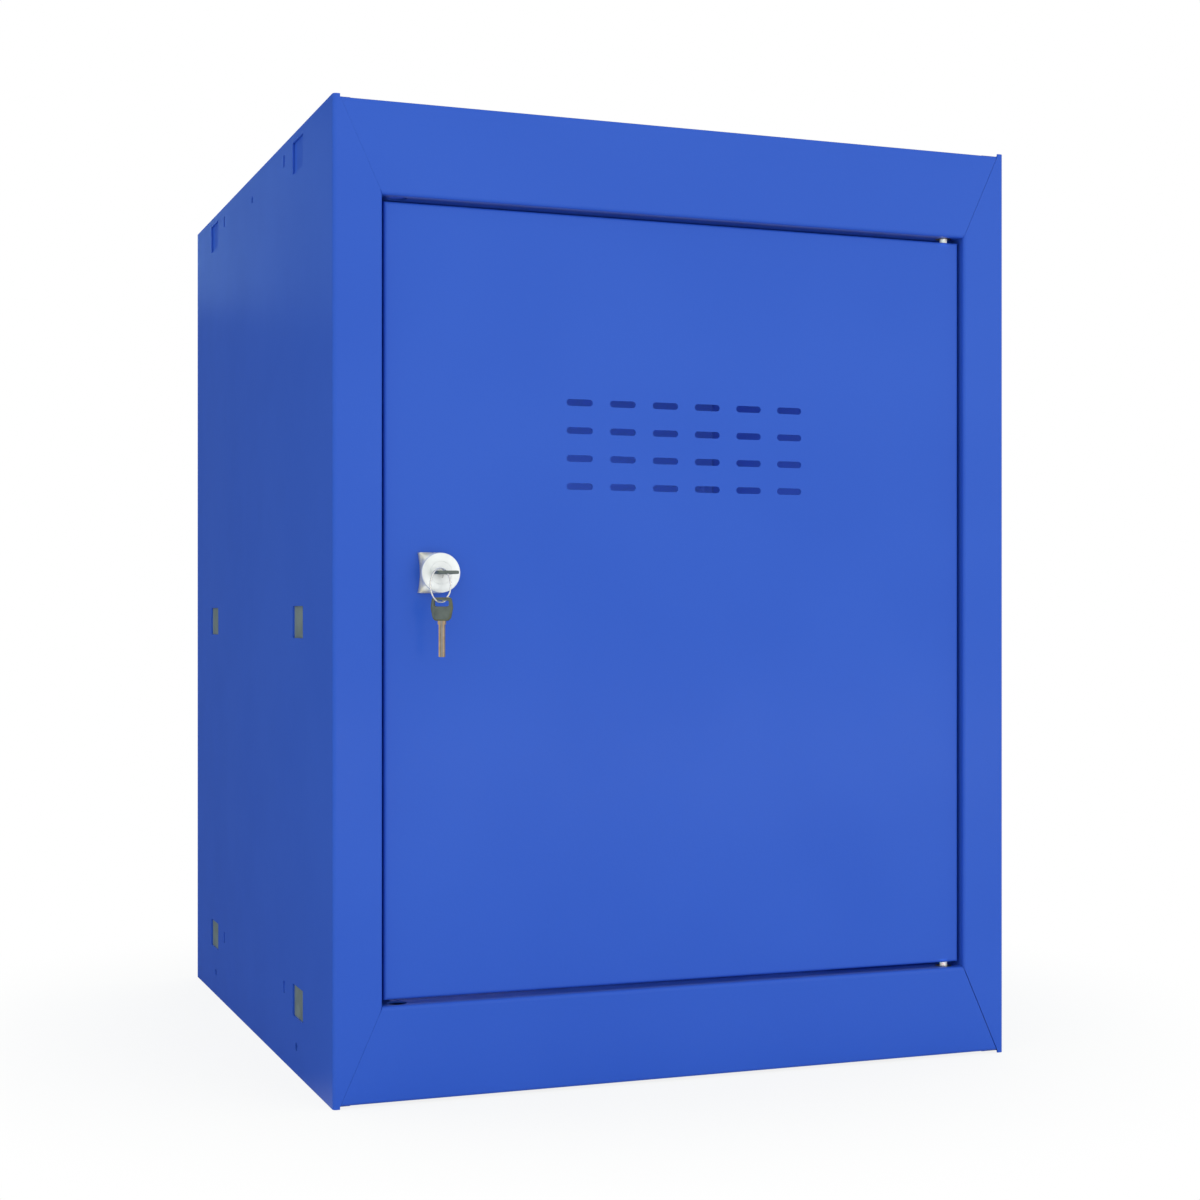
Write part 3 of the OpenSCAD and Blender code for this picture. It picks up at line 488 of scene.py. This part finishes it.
foot = lock_base(0, SHOULDER)
rim_low = LOCK_OUT - RIM_T
neck = ring_line(FACE_R, rim_low)
casting = [lock_base(0.15, 0), lock_base(0, 0.15), lock_base(0, SHOULDER - 0.15), lock_base(0.1, SHOULDER)]
casting += [between(foot, neck, t / SCOOP_STEPS) for t in range(1, SCOOP_STEPS)]

# Circles as (radius, height): up the rim, over the face, down the bore, and back along the thread
circles = [(FACE_R - 0.1, rim_low), (FACE_R, rim_low + 0.1), (FACE_R, LOCK_OUT - 0.45),
           (FACE_R - 0.13, LOCK_OUT - 0.13), (FACE_R - 0.45, LOCK_OUT), (BORE_R, LOCK_OUT),
           (BORE_R, LOCK_IN + NECK_T), (NECK_R, LOCK_IN + NECK_T), (NECK_R, LOCK_IN),
           (BARREL_R - 0.5, LOCK_IN)]
turns = int((-LOCK_IN - 1.5) / THREAD_PITCH)
for turn in range(turns):
    start = LOCK_IN + THREAD_START + turn * THREAD_PITCH
    circles += [(ROOT_R, start), (BARREL_R, start + 0.45 * THREAD_PITCH),
                (BARREL_R, start + 0.55 * THREAD_PITCH)]
circles += [(ROOT_R, LOCK_IN + THREAD_START + turns * THREAD_PITCH), (ROOT_R, 0)]
casting += [ring_line(radius, height) for radius, height in circles]
bm = stack(casting)
move(bm, lock_place)
make_piece("lock_casting", bm, chrome, "door", "lock_housing", 24)

# ---------------------------------------------------------------- keys
# The bow's thickness, length and width, the web between its slot and its end, and the slot, all in
# millimetres. SLOT_Y is how far the slot's middle is from the bow's root.
BOW_T = 1.6
BOW_L = 11.6
BOW_W = 12.2
BOW_WEB = 1.6
SLOT_W = 8.2
SLOT_L = 2.8
SLOT_Y = BOW_L - BOW_WEB - SLOT_L / 2
SLOT_POWER = 6
# The radius of the bow's rounded edges, and how far the middle of the round is drawn in
EDGE_R = 0.4
EDGE_MID = 0.12
# The raised pad on each face: its foot, its top, and how far its middle lies below the slot's
PAD_W = 8.2
PAD_L = 5.0
PAD_TOP_W = 7.8
PAD_TOP_L = 4.6
PAD_DROP = 5.2
PAD_POWER = 4
PAD_CORNERS = 48
# Directions that the search for the bow's outline tries, over half a turn
LEANS = 240
# How wide the rim of the spare key's bow is
SPARE_RIM = 0.8
# Rounds that the bow's outline runs over: across, along and radius
BOW_ROUNDS = [(side * x, y, r) for side in (-1, 1)
              for x, y, r in ((BOW_W * 0.43 - 2.6, 2.6, 2.6), (BOW_W / 2 - 4.5, BOW_L * 0.58, 4.5),
                              (BOW_W * 0.455 - 1.4, BOW_L - 1.4, 1.4))]


def bow_reach(angle):
    """Distance from the slot's middle to the bow's outline: the nearest of the lines that touch the
    rounds."""
    across, along = cos(angle), sin(angle)
    reaches = []
    for k in range(LEANS):
        lean = angle + (k - (LEANS - 1) / 2) * pi / LEANS
        nx, ny = cos(lean), sin(lean)
        touch = max(x * nx + (y - SLOT_Y) * ny + r for x, y, r in BOW_ROUNDS)
        reaches.append(touch / (across * nx + along * ny))
    return min(reaches)


def bow_line(inset, height):
    """The bow's outline about its slot's middle, drawn in by inset."""
    def shape(angle):
        reach = bow_reach(angle) - inset
        return (reach * cos(angle), reach * sin(angle), height)
    return shape


def slot_line(width, length, power, height):
    """A rounded rectangle as a superellipse."""
    def shape(angle):
        across, along = cos(angle), sin(angle)
        reach = (abs(across / (width / 2)) ** power + abs(along / (length / 2)) ** power) ** (-1 / power)
        return (reach * across, reach * along, height)
    return shape


def bow_mesh(rim):
    """Moulded bow about its slot's middle: rounded edges, a slot and a raised pad on each face.
    Faces that lie within rim of the outline or of the slot take the second material."""
    half = BOW_T / 2
    outside = [bow_line(0, -half + EDGE_R), bow_line(0, half - EDGE_R), bow_line(EDGE_MID, half - EDGE_MID),
               bow_line(EDGE_R, half), bow_line(2 * EDGE_R, half)]
    inside = [slot_line(SLOT_W + over_w, SLOT_L + over_l, SLOT_POWER, height) for over_w, over_l, height in
              ((0.4, 0.5, half), (0.1, 0.1, half - 0.25), (0.1, 0.1, 0.25 - half), (0.4, 0.5, -half))]
    back = [bow_line(2 * EDGE_R, -half), bow_line(EDGE_R, -half), bow_line(EDGE_MID, EDGE_MID - half)]
    whole = stack(outside + inside + back)
    for face in whole.faces:
        spot = face.calc_center_median() / MM
        inset = bow_reach(atan2(spot.y, spot.x)) - spot.xy.length
        beside_slot = abs(spot.x) < SLOT_W / 2 + rim / 4 and abs(spot.y) < SLOT_L / 2 + rim / 4
        face.material_index = 1 if rim and (inset < rim or beside_slot) else 0
    pad = stack([slot_line(width, length, PAD_POWER, half + height) for width, length, height in
                 ((PAD_W, PAD_L, -0.2), (PAD_W, PAD_L, 0.04), (PAD_TOP_W, PAD_TOP_L, 0.14))],
                PAD_CORNERS, closed=False)
    pad_place = Matrix.Translation((0, -PAD_DROP * MM, 0))
    pads = placed_copies(pad, [pad_place, pad_place @ Matrix.Rotation(pi, 4, "Y")])
    mesh = bpy.data.meshes.new("pads")
    pads.to_mesh(mesh)
    pads.free()
    whole.from_mesh(mesh)
    bpy.data.meshes.remove(mesh)
    return whole


bow_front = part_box("key_bow")[0].y
bow_end = (BOW_L - SLOT_Y) * MM
bm = bow_mesh(0)
move(bm, Matrix.Translation((lock_x, bow_front + bow_end, lock_z)) @ Matrix.Rotation(pi, 4, "Z"))
make_piece("key_bow_moulding", bm, abs_grey, "key", "key_bow")

spare_low, spare_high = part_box("spare_key_bow")
spare_middle = (spare_low + spare_high) / 2
bm = bow_mesh(SPARE_RIM)
move(bm, Matrix.Translation((spare_middle.x, spare_middle.y, spare_high.z - bow_end))
     @ Matrix.Rotation(radians(SPARE_DEGREES), 4, "Z") @ Matrix.Rotation(pi / 2, 4, "X"))
spare_bow = make_piece("spare_key_bow_moulding", bm, abs_grey, "spare_key", "spare_key_bow")
spare_bow.data.materials.append(abs_rim)

# ---------------------------------------------------------------- key ring
ring_low, ring_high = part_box("key_ring")
ring_centre = (ring_low + ring_high) / 2
WIRE_R = 0.4
ring_r = (ring_high.z - ring_low.z) / 2 / MM - WIRE_R
# The wire goes once round and a little further, and its ends lie side by side
LAP = radians(28)
# Where the wire starts, seen along the ring's axis
LAP_TURN = radians(-72)
# The wire is spun in steps, and each step lifts it, so that a corner's height tells its step
STEPS = 120
STEP_UP = 1 * MM
# Shares of the wire's length, from its middle: where it starts to leave the plane, and over what length.
# Then how far it goes, in wire radii.
PLANE_SHARE = 0.385
LEAVE_SHARE = 0.04
LEAVE_RADII = 1.025


def beside(share):
    """How far the wire lies off the ring's plane: nothing but near its two ends, which pass each other."""
    to_end = min(1, max(0, (abs(share - 0.5) - PLANE_SHARE) / LEAVE_SHARE))
    return LEAVE_RADII * WIRE_R * MM * to_end * (1 if share > 0.5 else -1)


bm = bmesh.new()
bmesh.ops.create_circle(bm, segments=16, radius=WIRE_R * MM, cap_ends=True)
move(bm, Matrix.Translation((ring_r * MM, 0, 0)) @ Matrix.Rotation(pi / 2, 4, "X"))
bmesh.ops.spin(bm, geom=bm.verts[:] + bm.edges[:] + bm.faces[:], cent=(0, 0, 0), axis=(0, 0, 1),
               dvec=(0, 0, STEP_UP), angle=2 * pi + LAP, steps=STEPS, use_merge=False,
               use_normal_flip=False, use_duplicate=False)
for corner in bm.verts:
    step = round(corner.co.z / STEP_UP)
    corner.co.z += beside(step / STEPS) - step * STEP_UP
move(bm, Matrix.Translation(ring_centre) @ Matrix.Rotation(radians(RING_DEGREES), 4, "Z")
     @ Matrix.Rotation(pi / 2, 4, "X") @ Matrix.Rotation(LAP_TURN, 4, "Z"))
make_piece("split_key_ring", bm, nickel, "ring", "key_ring", 50)

# ---------------------------------------------------------------- rubber buffers
buffer_low, buffer_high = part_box("door_buffers")
head_r = (buffer_high.x - buffer_low.x) / 2 / MM
# The front of the rebate lip, behind the front of the case
LIP_DEPTH = 24
lip_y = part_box("left_side_panel")[0].y + LIP_DEPTH * MM
HEAD_T = (lip_y - buffer_low.y) / MM
tail = (buffer_high.y - lip_y) / MM
bumper = turned([(0, -HEAD_T), (head_r * 0.45, -HEAD_T + 0.04), (head_r * 0.8, -HEAD_T + 0.3),
                 (head_r * 0.97, -HEAD_T + 0.9), (head_r, -0.5), (head_r, 0), (2, 0), (2, 1), (2.5, 1.2),
                 (2.3, tail * 0.8), (1.5, tail), (0, tail)], 32)
buffer_x = (buffer_low.x + buffer_high.x) / 2
bm = placed_copies(bumper, [Matrix.Translation((buffer_x, lip_y, z)) @ Matrix.Rotation(-pi / 2, 4, "X")
                            for z in (buffer_low.z + head_r * MM, buffer_high.z - head_r * MM)])
make_piece("rubber_buffers", bm, rubber, "cabinet", "door_buffers")

# ---------------------------------------------------------------- blind rivets
rivet_low, rivet_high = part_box("back_rivets")
HEAD_R = 3.25
HEAD_H = 1.2
side_x = rivet_high.x - HEAD_R * MM
low_z = rivet_low.z + HEAD_R * MM
high_z = rivet_high.z - HEAD_R * MM
back_y = rivet_high.y - HEAD_H * MM
dome = [(HEAD_R * cos(a), HEAD_H * sin(a)) for a in (0, 0.35, 0.7, 1.05, 1.25)]
rivet = turned([(0, 0.45), (0.75, 0.5), (0.9, HEAD_H * 0.97)] + dome[::-1]
               + [(1.6, 0), (1.6, -2), (2.4, -2.3), (2.3, -3.3), (1.2, -3.6), (0, -3.6)], 24)
# In metres: the outer rivets of the rows above and below, and the ends of the row of five on each side
ROW_X = 0.11
ROW_LOW = 0.075
ROW_HIGH = 0.425
SIDE_STEPS = 4
spots = [(side * side_x, back_y, ROW_LOW + (ROW_HIGH - ROW_LOW) * k / SIDE_STEPS)
         for side in (-1, 1) for k in range(SIDE_STEPS + 1)]
spots += [(x, back_y - MM, z) for x in (-ROW_X, 0, ROW_X) for z in (low_z, high_z)]
bm = placed_copies(rivet, [Matrix.Translation(spot) @ Matrix.Rotation(-pi / 2, 4, "X") for spot in spots])
make_piece("blind_rivets", bm, coat, "cabinet", "back_rivets")

# ---------------------------------------------------------------- studio
# Lengths and places are in metres, powers in watts
WHITE = linear("#FFFFFF")
FLOOR_R = 14
FLOOR_Z = -0.0003
# The black card that is painted shade under the base: its size and its place
SHADE_CARD_SIZE = (0.09, 0.15)
SHADE_CARD_PLACE = (-0.089, 0.06, -0.0002)
# Y of the lamps in the gaps round the door
GAP_Y = -0.189
# What the hinge pins' lamps stand off, and the heights that they aim at, in the gaps
SNOOT_REACH = 0.12
PIN_HEIGHTS = {"upper": 0.4507, "lower": 0.0503}


def ahead(tree, vector, far, near):
    """White in front of the object and near black behind it: the back of the studio is unlit, so a side
    that is seen at a glancing angle keeps its own colour."""
    split = add_node(tree, "ShaderNodeSeparateXYZ", (), {"Vector": vector})
    return map_range(tree, split.outputs["Y"], {"interpolation_type": "SMOOTHSTEP", "From Min": far,
                                                "From Max": near, "To Min": 0.05, "To Max": 1})


def studio_floor():
    """Pale matt floor. Near the object it takes some shadow, and further out it is the plain white of the
    backdrop."""
    material, tree, place = start_material("studio_floor")
    path = add_node(tree, "ShaderNodeLightPath")
    away = add_node(tree, "ShaderNodeVectorMath", {"operation": "LENGTH"}, {0: place})
    fade = map_range(tree, away.outputs["Value"], {"interpolation_type": "SMOOTHSTEP", "From Min": 0.22,
                                                   "From Max": 0.45, "To Min": 0.85, "To Max": 1.0})
    seen = add_node(tree, "ShaderNodeMath", {"operation": "MULTIPLY"},
                    {0: path.outputs["Is Camera Ray"], 1: fade})
    share = larger(tree, seen.outputs[0], path.outputs["Is Glossy Ray"])
    power = larger(tree, path.outputs["Is Camera Ray"], ahead(tree, place, -0.1, -0.35))
    plain = add_node(tree, "ShaderNodeBsdfDiffuse", {"Color": linear("#F2F2F0")})
    glow = add_node(tree, "ShaderNodeEmission", {"Color": WHITE}, {"Strength": power})
    mixed = add_node(tree, "ShaderNodeMixShader", (), {0: share, 1: plain.outputs[0], 2: glow.outputs[0]})
    add_node(tree, "ShaderNodeOutputMaterial", (), {"Surface": mixed.outputs[0]})
    return material


def black_shade_card():
    """Matt black card, as painted shade under the locker's base."""
    material, tree, _ = start_material("black_shade_card")
    finish_material(tree, {"Base Color": linear("#101010"), "Roughness": 0.9})
    return material


def studio_world():
    """White to the eye and in reflections from the front, and a soft even light on everything."""
    world = bpy.data.worlds.new("studio")
    world.use_nodes = True
    tree = world.node_tree
    tree.nodes.clear()
    path = add_node(tree, "ShaderNodeLightPath")
    toward = add_node(tree, "ShaderNodeTexCoord").outputs["Generated"]
    clear = larger(tree, path.outputs["Is Camera Ray"], path.outputs["Is Transmission Ray"])
    power = larger(tree, clear, ahead(tree, toward, 0.2, -0.3))
    seen = larger(tree, clear, path.outputs["Is Glossy Ray"])
    soft = add_node(tree, "ShaderNodeBackground", {"Color": linear("#F8FFF8"), "Strength": 1.0})
    backdrop = add_node(tree, "ShaderNodeBackground", {"Color": WHITE}, {"Strength": power})
    mixed = add_node(tree, "ShaderNodeMixShader", (), {0: seen, 1: soft.outputs[0], 2: backdrop.outputs[0]})
    add_node(tree, "ShaderNodeOutputWorld", (), {"Surface": mixed.outputs[0]})
    return world


def hang(name, data, place, direction):
    """Puts up a lamp that shines in a direction."""
    lamp = bpy.data.objects.new(name, data)
    lamp.location = place
    lamp.rotation_euler = direction.to_track_quat("-Z", "Y").to_euler()
    bpy.context.collection.objects.link(lamp)
    return lamp


def softbox(name, place, aim, width, height, power, tint=(1, 1, 1)):
    """A rectangular lamp that faces a point."""
    data = bpy.data.lights.new(name, "AREA")
    data.shape = "RECTANGLE"
    data.size = width
    data.size_y = height
    data.energy = power
    data.color = tint
    hang(name, data, place, Vector(aim) - Vector(place)).visible_camera = False


def snoot(name, aim):
    """A narrow lamp a hand's width in front of a hinge pin, so that the white nylon shows in its gap."""
    data = bpy.data.lights.new(name, "SPOT")
    data.spot_size = radians(2.4)
    data.spot_blend = 0.3
    data.shadow_soft_size = 0.002
    data.energy = 0.25
    toward_camera = (camera.location - aim).normalized()
    hang(name, data, aim + SNOOT_REACH * toward_camera, -toward_camera)


bm = bmesh.new()
bmesh.ops.create_circle(bm, segments=64, radius=FLOOR_R, cap_ends=True)
bmesh.ops.translate(bm, vec=(0, 0, FLOOR_Z), verts=bm.verts[:])
floor = make_object("floor", bm, studio_floor())

# A dark card on the ground under the base, where the sight line through the open hinge hole ends: painted
# shade, standing in for the shadow under the locker
bm = bmesh.new()
bmesh.ops.create_grid(bm, x_segments=1, y_segments=1, size=0.5)
move(bm, Matrix.Diagonal((*SHADE_CARD_SIZE, 1, 1)))
bmesh.ops.translate(bm, vec=SHADE_CARD_PLACE, verts=bm.verts[:])
card = make_object("shade_card_under_base", bm, black_shade_card())

bpy.context.scene.world = studio_world()

softbox("front_softbox", (1.1, -2.7, 0.9), (0, -0.1, 0.25), 1.8, 1.2, 3.4)
softbox("low_softbox", (0.35, -1.5, 0.08), (0, -0.2, 0), 1.4, 0.14, 1)
softbox("rear_softbox", (-0.25, 3.1, 1.1), (-0.19, 0.2, 0.48), 0.3, 0.4, 1.5, (0.44, 0.75, 1))
softbox("compartment_lamp", (0, -0.05, 0.16), (0, 0.2, 0.34), 0.25, 0.15, 1.08, (1, 0.7, 0.5))
# The light that a real studio throws into the gaps above and below the door
softbox("upper_gap_lamp", (0, GAP_Y, 0.4497), (0, GAP_Y, 1), 0.32, 0.006, 0.0018)
softbox("lower_gap_lamp", (0, GAP_Y, 0.0513), (0, GAP_Y, -1), 0.32, 0.006, 0.0013)

for end, height in PIN_HEIGHTS.items():
    low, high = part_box(f"{end}_hinge_pin")
    snoot(f"{end}_pin_snoot", Vector(((low.x + high.x) / 2, (low.y + high.y) / 2, height)))

bpy.context.scene.view_settings.view_transform = "Standard"
